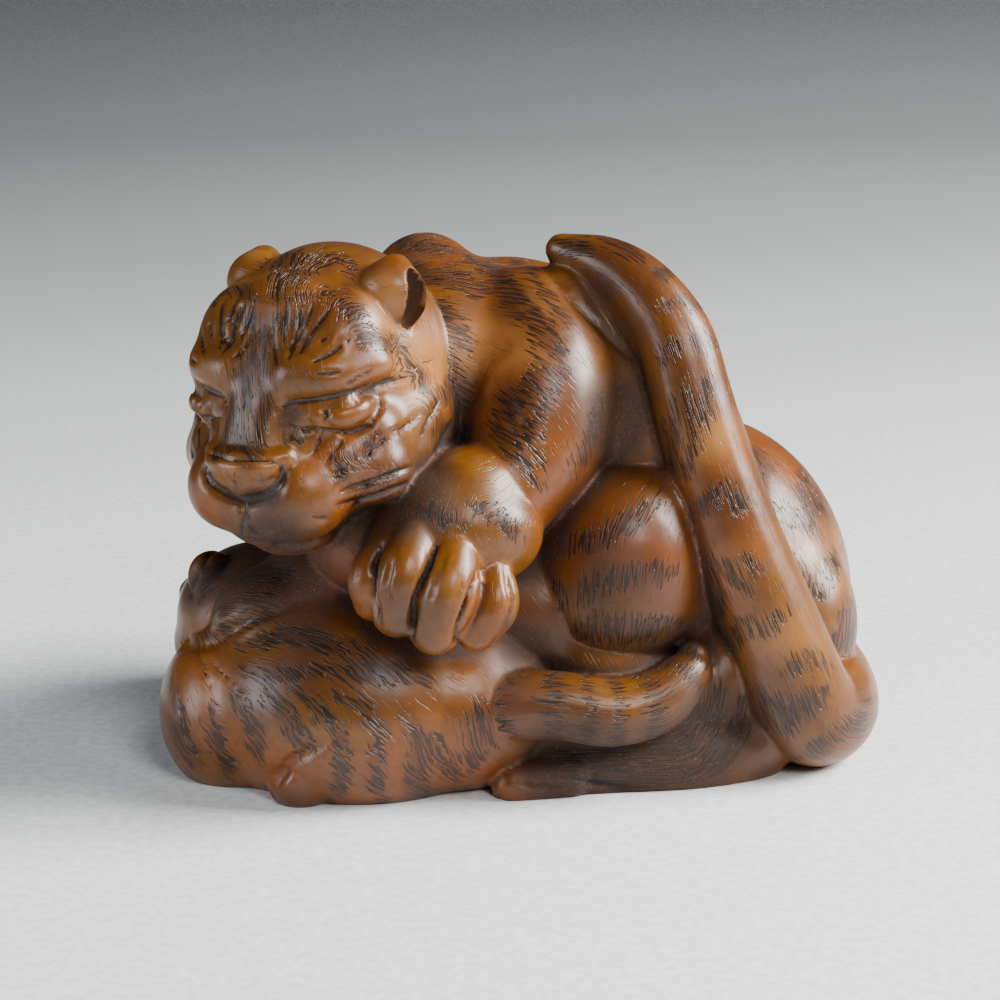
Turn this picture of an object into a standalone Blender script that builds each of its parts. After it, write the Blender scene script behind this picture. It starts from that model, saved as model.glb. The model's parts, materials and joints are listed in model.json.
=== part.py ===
"""Netsuke: a tigress curled over her cub, carved from one block of boxwood.

Metres, +Z up, origin under the middle of the carving, on the surface that it stands on.
The tigress looks towards -X and -Y, and her tail comes forward round her haunch and over her back.
"""
import math

import bmesh
import bpy
from mathutils import Euler, Matrix, Vector

# Overall length from the cub's shoulder to the bend of the tail. Pose and proportions are shares of it.
LENGTH = 0.0389
LENGTH_UNITS = 38.9
# Every place and radius of the figure below is in this unit, a millimetre on the real carving.
UNIT = LENGTH / LENGTH_UNITS

# Cord channel in the underside: a wide mouth that hides the knot, and a narrow one for the cord.
KNOT_MOUTH = 0.0048  # across
CORD_MOUTH = 0.0034  # across
MOUTH_SPACING = 0.0105  # centre to centre
CHANNEL_DEPTH = 0.0055  # from the underside to the middle of the bend
KNOT_MOUTH_AT = (-0.0025, 0.0058)  # place on the underside

# Detail of the finished solid
CLAY_GRAIN = 0.42  # cell of each form, in units
SKIN_GRAIN = 0.3  # cell of the whole figure, in units
TRIANGLES = 8700

for old in list(bpy.data.objects):
    bpy.data.objects.remove(old)

carving = bpy.data.collections.new("netsuke_tigress_and_cub")
bpy.context.scene.collection.children.link(carving)
cutters = bpy.data.collections.new("cutters")
bpy.context.scene.collection.children.link(cutters)
WORLD = Matrix.Identity(4)


def ball(at, radii, turn=(0, 0, 0), frame=WORLD, around=36):
    """An egg-shaped lump: centre, radii along its own axes, its turn in degrees, and facets around it."""
    mesh = bpy.data.meshes.new("lump")
    shape = bmesh.new()
    bmesh.ops.create_uvsphere(shape, u_segments=around, v_segments=around * 2 // 3, radius=1)
    turned = Euler([math.radians(a) for a in turn]).to_matrix().to_4x4()
    size = Matrix.Diagonal((*radii, 1))
    shape.transform(Matrix.Scale(UNIT, 4) @ frame @ Matrix.Translation(at) @ turned @ size)
    shape.to_mesh(mesh)
    shape.free()
    return mesh


def smooth_route(stations, steps):
    """Points and radii along a smooth curve through the stations (x, y, z, radius)."""
    p = [Vector(s) for s in stations]
    p = [p[0] * 2 - p[1], *p, p[-1] * 2 - p[-2]]
    route = []
    for i in range(1, len(p) - 2):
        for k in range(steps):
            t = k / steps
            a, b, c, d = p[i - 1], p[i], p[i + 1], p[i + 2]
            route.append(0.5 * (2 * b + (c - a) * t + (2 * a - 5 * b + 4 * c - d) * t * t
                                + (3 * b - a - 3 * c + d) * t ** 3))
    route.append(p[-2])
    return route


def limb(stations, frame=WORLD, steps=8):
    """A round limb through stations (x, y, z, radius), with round ends."""
    route = smooth_route(stations, steps)
    curve = bpy.data.curves.new("limb", "CURVE")
    curve.dimensions = "3D"
    curve.bevel_depth = 1
    curve.bevel_resolution = 6
    curve.use_fill_caps = True
    spline = curve.splines.new("POLY")
    spline.points.add(len(route) - 1)
    for point, (x, y, z, radius) in zip(spline.points, route):
        point.co = (x, y, z, 1)
        point.radius = radius
    holder = bpy.data.objects.new("limb", curve)
    carving.objects.link(holder)
    bpy.context.view_layer.update()
    mesh = bpy.data.meshes.new_from_object(holder.evaluated_get(bpy.context.evaluated_depsgraph_get()))
    bpy.data.objects.remove(holder)
    shape = bmesh.new()
    shape.from_mesh(mesh)
    bmesh.ops.remove_doubles(shape, verts=shape.verts, dist=1e-5)
    for x, y, z, radius in (route[0], route[-1]):
        end = Matrix.Translation((x, y, z)) @ Matrix.Scale(radius, 4)
        bmesh.ops.create_uvsphere(shape, u_segments=24, v_segments=16, radius=1, matrix=end)
    shape.transform(Matrix.Scale(UNIT, 4) @ frame)
    shape.to_mesh(mesh)
    shape.free()
    return mesh


def fuse(name, lumps, grain=CLAY_GRAIN, softness=0.0):
    """Runs the lumps together into one skin, and softens the joins over about `softness` units."""
    shape = bmesh.new()
    for mesh in lumps:
        shape.from_mesh(mesh)
        bpy.data.meshes.remove(mesh)
    joined = bpy.data.meshes.new(name)
    shape.to_mesh(joined)
    shape.free()
    body = bpy.data.objects.new(name, joined)
    carving.objects.link(body)
    skin = body.modifiers.new("Remesh", "REMESH")
    skin.mode = "VOXEL"
    skin.voxel_size = grain * UNIT
    if softness:
        soften = body.modifiers.new("Smooth", "SMOOTH")
        soften.factor = 0.5
        soften.iterations = max(1, round(4 * (softness / grain) ** 2))
    bpy.context.view_layer.update()
    done = bpy.data.meshes.new_from_object(body.evaluated_get(bpy.context.evaluated_depsgraph_get()))
    bpy.data.objects.remove(body)
    bpy.data.meshes.remove(joined)
    return done


# The tigress's head. Its own axes are forward, to her left and up.
HEAD_AT = (-9.6, -4.2, 21.5)
HEAD_YAW = 30
HEAD_PITCH = 20
HEAD_ROLL = 2


def head_frame():
    forward = Matrix.Rotation(math.radians(-90 - HEAD_YAW), 4, "Z")
    down = Matrix.Rotation(math.radians(HEAD_PITCH), 4, "Y")
    tilt = Matrix.Rotation(math.radians(HEAD_ROLL), 4, "X")
    return Matrix.Translation(HEAD_AT) @ forward @ down @ tilt


def tigress_head():
    at = head_frame()
    soft = [
        ball((-0.3, 0, 0.3), (6.2, 5.9, 6.4), frame=at),
        ball((4.4, 0, -2.7), (4.4, 4.9, 3.5), frame=at),
        ball((1.6, 0, -4.0), (4.8, 4.8, 3.0), frame=at),
        ball((6.2, 0, -5.1), (2.6, 2.8, 1.7), frame=at),
        ball((7.6, 0, -3.4), (2.6, 2.6, 2.0), frame=at),
    ]
    for side in (-1, 1):
        soft += [
            limb([(2.0, side * 0.9, 4.2, 2.4), (5.0, side * 0.6, 2.2, 1.8), (7.0, side * 0.5, 0.5, 1.5),
                  (8.0, side * 0.7, -0.6, 1.5)], frame=at),
            ball((7.5, side * 2.1, -2.5), (2.5, 2.5, 2.4), frame=at),
            ball((5.4, side * 3.6, -1.9), (2.3, 2.1, 2.4), frame=at),
            ball((2.3, side * 2.7, 3.3), (3.2, 2.7, 2.6), (0, 20, 0), frame=at),
            limb([(5.3, side * 1.9, 3.0, 1.4), (4.8, side * 3.7, 2.9, 1.25), (2.8, side * 5.1, 2.5, 0.9)],
                 frame=at),
            ball((4.6, side * 4.8, -2.4), (2.1, 1.9, 2.0), frame=at),
            ball((0.8, side * 3.9, -2.4), (4.2, 2.6, 3.8), frame=at),
            ball((3.9, side * 4.5, -0.9), (1.9, 1.7, 1.8), frame=at),
        ]
    skin = fuse("head", soft, softness=0.55)
    crisp = [
        skin,
        limb([(8.7, -1.6, 0.1, 0.75), (9.2, 0, 0.25, 0.9), (8.7, 1.6, 0.1, 0.75)], frame=at),
        ball((9.3, 0, -0.75), (0.95, 1.5, 0.95), frame=at),
    ]
    for side, apart in ((-1, 3.8), (1, 4.3)):
        crisp += [
            ball((5.1, side * 3.5, 0.85), (1.4, 1.8, 1.0), (0, 0, side * 40), frame=at),
            fuse("ear", [
                ball((-0.8, side * apart, 4.4), (1.7, 1.9, 1.9), frame=at),
                limb([(-1.0, side * apart, 4.6, 1.5), (-1.6, side * apart, 5.35, 0.95)], frame=at),
            ], grain=0.25, softness=0.35),
        ]
    return crisp


def ear_hollows():
    at = head_frame()
    return [ball((-0.8, side * 5.45, 4.3), (0.8, 1.3, 1.6), (side * -22, -22, side * 10), frame=at,
                 around=18)
            for side in (-1, 1)]


def tigress_body():
    trunk = fuse("trunk", [
        ball((-0.5, 3.8, 14.2), (9.0, 8.2, 11.9)),
        ball((9.6, 3.2, 6.8), (9.2, 8.8, 10.6)),
        ball((-4.0, 1.5, 20.2), (6.0, 6.6, 6.6)),
        ball((3.8, 3.8, 15.2), (7.4, 6.6, 10.6)),
        ball((-7.4, -1.4, 13.0), (4.6, 4.6, 4.6)),
        ball((-5.0, 4.0, 6.0), (7.0, 6.6, 7.0)),
        ball((0.5, 5.0, 6.0), (8.0, 6.4, 8.0)),
        ball((1.4, -2.0, 2.0), (7.4, 6.2, 4.2)),
        ball((0.8, -3.6, 8.2), (4.6, 4.6, 4.8)),
        ball((-3.8, -4.6, 10.6), (4.4, 4.0, 3.4)),
        ball((4.6, -5.8, 6.0), (4.0, 2.8, 2.8)),
        ball((-7.4, -5.4, 13.2), (3.8, 3.8, 3.8)),
        ball((-6.4, 6.6, 3.6), (4.8, 3.8, 3.8)),
        limb([(0.6, 0, 22.3, 4.0), (1.2, -2.6, 20.2, 4.2), (0.6, -4.4, 17.4, 3.9), (-0.8, -6.2, 15.4, 3.0)]),
        limb([(4.6, 1.6, 24.2, 2.4), (7.4, 0.4, 21.2, 2.8), (9.4, -1.2, 17, 3.0), (10.6, -2.0, 12.6, 3.0)]),
        ball((-5.0, 4.6, 23.6), (3.4, 3.4, 3.8)),
        limb([(2.6, 0, 24.4, 2.0), (5.0, -1.4, 20.6, 2.4), (6.6, -2.4, 16.4, 2.6), (7.4, -2.8, 12.6, 2.8)]),
        ball((15.2, -0.6, 6.6), (3.5, 4.2, 5.0)),
    ], softness=1.0)
    return [trunk]


def far_foreleg():
    leg = fuse("far_foreleg", [
        limb([(-5.0, 5.4, 21, 3.8), (-7.2, 8.2, 16.4, 3.9), (-8.4, 9.6, 11, 3.5), (-10.4, 9.4, 6.4, 3.0)]),
        ball((-12.6, 8.4, 3.6), (4.0, 3.2, 3.0), (0, -20, -30)),
    ], softness=0.6)
    toes = [
        limb([(-13.4 - 1.1 * i, 9.8 - 2.0 * i, 4.2, 1.2), (-15.4 - 0.7 * i, 9.8 - 2.1 * i, 2.9, 1.4),
              (-15.9 - 0.6 * i, 9.5 - 2.0 * i, 1.2, 1.2)])
        for i in range(3)
    ]
    return [leg, *toes]


def far_hind_leg():
    thigh = fuse("far_thigh", [
        ball((6.4, 8.0, 8.2), (6.4, 4.4, 7.2), (0, 12, 0)),
        ball((9.0, 7.6, 6.6), (5.6, 4.6, 6.6)),
    ], softness=0.6)
    foot = fuse("far_foot", [
        limb([(8.6, 9.6, 3.4, 2.4), (4.0, 10.9, 1.8, 2.1), (-0.6, 10.9, 1.3, 1.9), (-3.2, 10.4, 1.2, 1.8)]),
    ], softness=0.4)
    toes = [
        limb([(-3.4, 10.6 - 1.5 * i, 2.3, 0.9), (-5.4, 10.9 - 1.7 * i, 1.4, 1.1),
              (-5.8, 10.8 - 1.7 * i, 0.5, 0.9)])
        for i in range(3)
    ]
    return [thigh, foot, *toes]


def near_forepaw():
    paw = fuse("forepaw", [
        ball((-3.0, -7.9, 14.2), (4.4, 3.6, 3.2), (0, 10, 0)),
        ball((-4.2, -8.9, 12.6), (4.0, 3.0, 3.4)),
        limb([(-0.6, -5.6, 15.6, 3.0), (-2.6, -7.2, 14.8, 3.4)]),
    ], softness=0.4)
    toes = [
        limb([(-7.0, -9.6, 13.4, 0.8), (-7.6, -10.8, 12.2, 1.0), (-7.5, -10.6, 10.9, 0.8)]),
        limb([(-5.1, -10.6, 14.2, 1.0), (-5.7, -12.0, 12.6, 1.25), (-6.3, -11.8, 10.5, 1.1)]),
        limb([(-3.1, -10.8, 13.8, 1.1), (-3.5, -12.4, 12.0, 1.4), (-4.3, -12.2, 9.6, 1.2)]),
        limb([(-1.4, -10.2, 12.9, 0.9), (-1.2, -11.7, 11.2, 1.15), (-2.3, -11.6, 9.4, 1.0)]),
    ]
    return [paw, *toes]


def near_hind_leg():
    thigh = fuse("thigh", [
        ball((5.4, -4.0, 10.7), (5.0, 5.0, 6.0), (0, 6, 0)),
        ball((7.4, -2.6, 10.2), (4.6, 4.4, 6.4)),
        ball((6.6, -3.6, 13.2), (4.2, 3.8, 3.6)),
    ], softness=0.5)
    foot = fuse("hind_foot", [
        limb([(10.8, -3.8, 7.0, 2.6), (12.4, -4.2, 3.2, 2.8), (12.4, -5.2, 1.6, 2.5), (9.2, -6.8, 1.3, 2.3),
              (5.0, -7.4, 0.9, 2.1), (2.0, -8.0, 0.7, 1.9)]),
        limb([(11.6, -4.4, 6.6, 2.4), (9.6, -5.6, 4.2, 2.5), (5.0, -6.6, 2.9, 2.2), (-0.6, -7.0, 2.4, 2.0)]),
    ], softness=0.4)
    toes = [limb([(2.8, -8.7 - 0.5 * i, 0.9, 1.1), (0.6 - 0.8 * i, -8.2 - 1.2 * i, 0.6, 1.2)])
            for i in range(2)]
    return [thigh, foot, *toes]


def tail():
    return [fuse("tail", [
        limb([(9.0, 10.4, 4.6, 2.2), (13.8, 8.0, 3.4, 2.4), (16.8, 3.0, 2.9, 2.6), (16.9, -2.8, 2.8, 2.8),
              (15.4, -5.6, 3.4, 2.9), (13.5, -5.9, 7.8, 2.7), (11.6, -5.5, 12.4, 2.5),
              (10.1, -4.8, 16.6, 2.3),
              (9.1, -4.0, 20.0, 2.2), (8.2, -2.9, 23.0, 2.1), (6.5, -1.4, 25.2, 1.9),
              (4.6, -0.2, 26.4, 1.55), (2.4, 0.8, 27.0, 0.95)]),
        limb([(7.4, -2.2, 21.6, 1.4), (6.2, -1.4, 23.4, 1.5), (4.4, -0.2, 25, 1.3), (2.6, 0.6, 26.2, 0.8)]),
    ], softness=0.3)]


# The cub's head. Its own axes are forward, to its left and up.
CUB_HEAD_AT = (-13.9, -1.4, 7.4)
CUB_HEAD_YAW = 118
CUB_HEAD_PITCH = 14


def cub_head_frame():
    forward = Matrix.Rotation(math.radians(CUB_HEAD_YAW), 4, "Z")
    down = Matrix.Rotation(math.radians(CUB_HEAD_PITCH), 4, "Y")
    return Matrix.Translation(CUB_HEAD_AT) @ forward @ down


def cub():
    body = fuse("cub_body", [
        ball((-8.4, -5.0, 4.2), (8.6, 7.9, 6.5)),
        ball((-15.0, -4.8, 3.2), (4.2, 5.0, 4.8)),
        ball((-3.5, -4.8, 4.2), (6.3, 6.9, 5.4)),
        ball((-9.6, -3.6, 9.4), (4.4, 4.2, 3.2)),
        ball((-12.6, -5.0, 8.2), (3.6, 3.6, 3.0)),
    ], softness=0.8)
    at = cub_head_frame()
    soft = [
        ball((0, 0, 0), (4.6, 4.6, 4.0), frame=at),
        ball((3.6, 0, -1.0), (2.9, 2.5, 2.1), frame=at),
        limb([(2.4, 0, 2.2, 1.5), (4.4, 0, 1.0, 1.2), (6.0, 0, 0.0, 1.0)], frame=at),
        ball((4.4, 0, -2.4), (1.6, 1.7, 1.1), frame=at),
    ]
    for side in (-1, 1):
        soft += [
            ball((5.0, side * 1.2, -1.0), (1.5, 1.5, 1.4), frame=at),
            limb([(3.4, side * 1.3, 1.8, 1.0), (2.4, side * 2.9, 1.6, 0.8)], frame=at),
            ball((1.4, side * 2.7, -1.2), (2.4, 1.8, 2.2), frame=at),
        ]
    crisp = [body, fuse("cub_head", soft, softness=0.45), ball((6.3, 0, -0.4), (0.7, 1.1, 0.7), frame=at)]
    for side in (-1, 1):
        crisp += [
            ball((2.9, side * 2.1, 0.5), (0.9, 1.1, 0.55), (0, 0, side * 40), frame=at),
            ball((-0.9, side * 2.9, 2.6), (1.3, 1.5, 1.6), (side * -30, -10, 0), frame=at),
        ]
    tail_tip = limb([(-3.6, -8.4, 4.4, 1.9), (-0.6, -9.4, 4.9, 1.9), (2.0, -9.6, 5.0, 1.8),
                     (4.8, -9.6, 4.6, 1.8), (7.2, -9.0, 5.0, 1.7), (8.8, -8.0, 6.2, 1.3),
                     (9.2, -7.4, 6.9, 0.9)])
    return [*crisp, tail_tip, ball((-11.2, -10.0, 1.4), (1.9, 1.9, 2.0), (0, 20, 0))]


def finished(body):
    """The mesh of an object with its modifiers worked through; the object itself goes."""
    bpy.context.view_layer.update()
    mesh = bpy.data.meshes.new_from_object(body.evaluated_get(bpy.context.evaluated_depsgraph_get()))
    bpy.data.objects.remove(body)
    return mesh


def solid(name, mesh, group):
    body = bpy.data.objects.new(name, mesh)
    group.objects.link(body)
    return body


def cut(body, name, mesh):
    """Takes the mesh out of the body."""
    tool = solid(name, mesh, cutters)
    tool.hide_render = True
    tool.display_type = "WIRE"
    gouge = body.modifiers.new(name, "BOOLEAN")
    gouge.operation = "DIFFERENCE"
    gouge.solver = "EXACT"
    gouge.object = tool


def triangles(mesh):
    return sum(len(face.vertices) - 2 for face in mesh.polygons)


def cord_channel():
    """A bent bore that opens on the underside at both ends."""
    x, y = (v / UNIT for v in KNOT_MOUTH_AT)
    run = MOUTH_SPACING / UNIT
    deep = CHANNEL_DEPTH / UNIT
    wide = KNOT_MOUTH / 2 / UNIT
    narrow = CORD_MOUTH / 2 / UNIT
    return limb([(x, y, -wide, wide), (x, y, 0.3 * deep, wide), (x + 0.2 * run, y, 0.8 * deep, wide),
                 (x + 0.5 * run, y, deep, 0.5 * (wide + narrow)), (x + 0.8 * run, y, 0.8 * deep, narrow),
                 (x + run, y, 0.3 * deep, narrow), (x + run, y, -wide, narrow)], steps=2)


def box(low, high):
    mesh = bpy.data.meshes.new("box")
    shape = bmesh.new()
    middle = (Vector(low) + Vector(high)) / 2
    size = Matrix.Diagonal((*(Vector(high) - Vector(low)), 1))
    bmesh.ops.create_cube(shape, size=1, matrix=Matrix.Translation(middle) @ size)
    shape.to_mesh(mesh)
    shape.free()
    return mesh


# The whole figure in one skin, in facets, and set over its own middle
skin = fuse("figure", [
    *tigress_head(), *tigress_body(), *near_forepaw(), *far_foreleg(), *near_hind_leg(), *far_hind_leg(),
    *tail(), *cub()], grain=SKIN_GRAIN, softness=0.12)
figure = solid("figure", skin, carving)
facets = figure.modifiers.new("Facets", "DECIMATE")
facets.ratio = TRIANGLES / triangles(skin)
skin = finished(figure)
low = [min(v.co[i] for v in skin.vertices) for i in range(2)]
high = [max(v.co[i] for v in skin.vertices) for i in range(2)]
middle = Matrix.Translation((-(low[0] + high[0]) / 2, -(low[1] + high[1]) / 2, 0))
skin.transform(middle)

# The hollow ears, the flat underside and the cord channel
netsuke = solid("netsuke", skin, carving)
for number, hollow in enumerate(ear_hollows()):
    hollow.transform(middle)
    cut(netsuke, f"ear_hollow_{number}", hollow)
cut(netsuke, "underside", box((-LENGTH, -LENGTH, -LENGTH), (LENGTH, LENGTH, 0)))
cut(netsuke, "cord_channel", cord_channel())

boxwood = bpy.data.materials.new("boxwood")
boxwood.use_nodes = True
surface = boxwood.node_tree.nodes["Principled BSDF"]
surface.inputs["Base Color"].default_value = (0.30, 0.10, 0.022, 1)
surface.inputs["Roughness"].default_value = 0.36
netsuke.data.materials.append(boxwood)
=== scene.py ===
"""Looks of the netsuke: a tigress curled over her cub, in polished boxwood with stained stripes."""

import json
import math

import bmesh
import bpy
import numpy as np
from mathutils import Euler, Matrix, Vector
from mathutils.bvhtree import BVHTree
from mathutils.kdtree import KDTree

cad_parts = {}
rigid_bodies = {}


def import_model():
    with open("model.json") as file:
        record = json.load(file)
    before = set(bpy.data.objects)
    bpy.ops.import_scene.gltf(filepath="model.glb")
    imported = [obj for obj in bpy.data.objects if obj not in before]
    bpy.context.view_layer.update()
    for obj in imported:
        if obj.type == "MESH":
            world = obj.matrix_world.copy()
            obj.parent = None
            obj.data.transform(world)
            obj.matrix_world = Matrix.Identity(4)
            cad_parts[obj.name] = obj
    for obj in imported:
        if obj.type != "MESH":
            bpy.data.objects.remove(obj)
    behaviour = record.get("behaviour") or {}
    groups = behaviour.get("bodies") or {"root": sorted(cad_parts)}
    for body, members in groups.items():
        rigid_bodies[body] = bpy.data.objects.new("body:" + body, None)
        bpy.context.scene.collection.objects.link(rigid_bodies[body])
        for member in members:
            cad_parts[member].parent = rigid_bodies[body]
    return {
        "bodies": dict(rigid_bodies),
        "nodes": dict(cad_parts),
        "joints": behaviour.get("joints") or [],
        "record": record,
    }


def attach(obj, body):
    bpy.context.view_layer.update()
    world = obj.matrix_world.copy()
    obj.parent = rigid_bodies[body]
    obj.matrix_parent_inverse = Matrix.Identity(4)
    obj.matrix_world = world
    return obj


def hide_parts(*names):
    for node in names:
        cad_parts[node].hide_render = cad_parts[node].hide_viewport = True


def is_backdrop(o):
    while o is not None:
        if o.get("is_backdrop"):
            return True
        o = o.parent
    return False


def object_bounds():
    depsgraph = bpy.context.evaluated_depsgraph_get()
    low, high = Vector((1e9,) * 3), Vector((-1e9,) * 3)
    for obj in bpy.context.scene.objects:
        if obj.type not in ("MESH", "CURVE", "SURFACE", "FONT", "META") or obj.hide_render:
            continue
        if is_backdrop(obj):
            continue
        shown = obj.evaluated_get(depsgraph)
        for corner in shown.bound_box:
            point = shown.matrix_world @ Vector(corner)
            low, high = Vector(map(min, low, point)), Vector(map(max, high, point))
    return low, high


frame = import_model()
cad_low, cad_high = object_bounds()

# The carving: one block of boxwood, cut in the round. It is roughed out here as lumps and limbs that
# run into each other, then smoothed, hollowed at the ears, and engraved. It is a single piece, so
# nothing is fixed to it. Places and radii are in millimetres on the real carving.
UNIT = 0.001
WORLD = Matrix.Identity(4)
CLAY_GRAIN = 0.25  # cell of each form
SKIN_GRAIN = 0.14  # cell of the whole figure
MOST_TRIANGLES = 192000
ROUTE_STEPS = 8  # pieces between two stations of a limb
SMOOTHING = 4  # rounds of smoothing that soften a join over one cell


def ball(at, radii, turn=(0, 0, 0), frame=WORLD, around=36):
    """An egg-shaped lump: centre, radii along its own axes, its turn in degrees, and facets around it."""
    mesh = bpy.data.meshes.new("lump")
    shape = bmesh.new()
    bmesh.ops.create_uvsphere(shape, u_segments=around, v_segments=around * 2 // 3, radius=1)
    set_round = Euler([math.radians(a) for a in turn]).to_matrix().to_4x4()
    size = Matrix.Diagonal((*radii, 1))
    shape.transform(Matrix.Scale(UNIT, 4) @ frame @ Matrix.Translation(at) @ set_round @ size)
    shape.to_mesh(mesh)
    shape.free()
    return mesh


def smooth_route(stations, steps):
    """Points and radii along a smooth curve through the stations (x, y, z, radius)."""
    p = [Vector(s) for s in stations]
    p = [p[0] * 2 - p[1], *p, p[-1] * 2 - p[-2]]
    route = []
    for i in range(1, len(p) - 2):
        for k in range(steps):
            t = k / steps
            a, b, c, d = p[i - 1], p[i], p[i + 1], p[i + 2]
            route.append(0.5 * (2 * b + (c - a) * t + (2 * a - 5 * b + 4 * c - d) * t * t
                                + (3 * b - a - 3 * c + d) * t ** 3))
    route.append(p[-2])
    return route


def limb(stations, frame=WORLD, steps=ROUTE_STEPS):
    """A round limb through stations (x, y, z, radius), with round ends."""
    route = smooth_route(stations, steps)
    curve = bpy.data.curves.new("limb", "CURVE")
    curve.dimensions = "3D"
    curve.bevel_depth = 1
    curve.bevel_resolution = 6
    curve.use_fill_caps = True
    spline = curve.splines.new("POLY")
    spline.points.add(len(route) - 1)
    for point, (x, y, z, radius) in zip(spline.points, route):
        point.co = (x, y, z, 1)
        point.radius = radius
    holder = bpy.data.objects.new("limb", curve)
    bpy.context.scene.collection.objects.link(holder)
    bpy.context.view_layer.update()
    mesh = bpy.data.meshes.new_from_object(holder.evaluated_get(bpy.context.evaluated_depsgraph_get()))
    bpy.data.objects.remove(holder)
    shape = bmesh.new()
    shape.from_mesh(mesh)
    bmesh.ops.remove_doubles(shape, verts=shape.verts, dist=1e-5)
    for x, y, z, radius in (route[0], route[-1]):
        end = Matrix.Translation((x, y, z)) @ Matrix.Scale(radius, 4)
        bmesh.ops.create_uvsphere(shape, u_segments=24, v_segments=16, radius=1, matrix=end)
    shape.transform(Matrix.Scale(UNIT, 4) @ frame)
    shape.to_mesh(mesh)
    shape.free()
    return mesh


def fuse(name, lumps, grain=CLAY_GRAIN, softness=0.0):
    """Runs the lumps together into one skin, and softens the joins over about `softness` millimetres."""
    shape = bmesh.new()
    for mesh in lumps:
        shape.from_mesh(mesh)
        bpy.data.meshes.remove(mesh)
    joined = bpy.data.meshes.new(name)
    shape.to_mesh(joined)
    shape.free()
    body = bpy.data.objects.new(name, joined)
    bpy.context.scene.collection.objects.link(body)
    skin = body.modifiers.new("Remesh", "REMESH")
    skin.mode = "VOXEL"
    skin.voxel_size = grain * UNIT
    if softness:
        soften = body.modifiers.new("Smooth", "SMOOTH")
        soften.factor = 0.5
        soften.iterations = max(1, round(SMOOTHING * (softness / grain) ** 2))
    bpy.context.view_layer.update()
    done = bpy.data.meshes.new_from_object(body.evaluated_get(bpy.context.evaluated_depsgraph_get()))
    bpy.data.objects.remove(body)
    bpy.data.meshes.remove(joined)
    return done


# The tigress's head. Its own axes are forward, to her left and up.
HEAD_AT = (-9.6, -4.2, 21.5)
HEAD_YAW = 30
HEAD_PITCH = 20
HEAD_ROLL = 2


def head_frame():
    """Where the tigress's head sits and how it is turned."""
    forward = Matrix.Rotation(math.radians(-90 - HEAD_YAW), 4, "Z")
    down = Matrix.Rotation(math.radians(HEAD_PITCH), 4, "Y")
    tilt = Matrix.Rotation(math.radians(HEAD_ROLL), 4, "X")
    return Matrix.Translation(HEAD_AT) @ forward @ down @ tilt


def tigress_head():
    """Her head: skull, brows, cheeks, muzzle, nose, eyelids, eyes and ears."""
    at = head_frame()
    soft = [
        ball((-0.3, 0, 0.3), (6.2, 5.9, 6.4), frame=at),
        ball((4.4, 0, -2.7), (4.4, 4.9, 3.5), frame=at),
        ball((1.6, 0, -4.0), (4.8, 4.8, 3.0), frame=at),
        ball((6.2, 0, -5.1), (2.6, 2.8, 1.7), frame=at),
        ball((7.6, 0, -3.4), (2.6, 2.6, 2.0), frame=at),
    ]
    for side in (-1, 1):
        soft += [
            limb([(2.0, side * 0.9, 4.2, 2.4), (5.0, side * 0.6, 2.2, 1.8), (7.0, side * 0.5, 0.5, 1.5),
                  (8.0, side * 0.7, -0.6, 1.5)], frame=at),
            ball((7.5, side * 2.1, -2.5), (2.5, 2.5, 2.4), frame=at),
            ball((5.4, side * 3.6, -1.9), (2.3, 2.1, 2.4), frame=at),
            ball((2.3, side * 2.7, 3.3), (3.2, 2.7, 2.6), (0, 20, 0), frame=at),
            limb([(5.3, side * 1.9, 3.0, 1.4), (4.8, side * 3.7, 2.9, 1.25), (2.8, side * 5.1, 2.5, 0.9)],
                 frame=at),
            ball((4.6, side * 4.8, -2.4), (2.1, 1.9, 2.0), frame=at),
            ball((0.8, side * 3.9, -2.4), (4.2, 2.6, 3.8), frame=at),
            ball((3.9, side * 4.5, -0.9), (1.9, 1.7, 1.8), frame=at),
            ball((6.3, side * 1.9, -0.2), (1.7, 1.5, 1.7), frame=at),
            limb([(6.1, side * 1.3, 1.1, 1.1), (5.6, side * 2.6, 1.6, 1.05), (4.9, side * 4.1, 1.8, 0.9)],
                 frame=at),
        ]
    skin = fuse("head", soft, softness=0.55)
    crisp = [
        skin,
        limb([(8.1, -2.1, -0.1, 0.6), (8.9, -1.2, -0.1, 0.75), (9.15, 0, -0.05, 0.8), (8.9, 1.2, -0.1, 0.75),
              (8.1, 2.1, -0.1, 0.6)], frame=at),
        ball((8.9, 0, -0.7), (0.95, 1.7, 0.9), frame=at),
        ball((9.05, 0, -1.1), (0.8, 0.95, 0.7), frame=at),
    ]
    for side, apart in ((-1, 3.8), (1, 4.3)):
        crisp += [
            ball((5.1, side * 3.5, 0.85), (1.4, 1.8, 1.0), (0, 0, side * 40), frame=at),
            fuse("ear", [
                ball((-0.8, side * apart, 4.4), (1.7, 1.9, 1.9), frame=at),
                limb([(-1.0, side * apart, 4.6, 1.5), (-1.6, side * apart, 5.35, 0.95)], frame=at),
            ], grain=0.25, softness=0.35),
        ]
    return crisp


def ear_hollows():
    """The hollows that are gouged into her ears."""
    at = head_frame()
    return [ball((-0.7, side * 5.4, 4.3), (0.95, 1.35, 1.6), (side * -22, -22, side * 10), frame=at,
                 around=18)
            for side in (-1, 1)]


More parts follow.
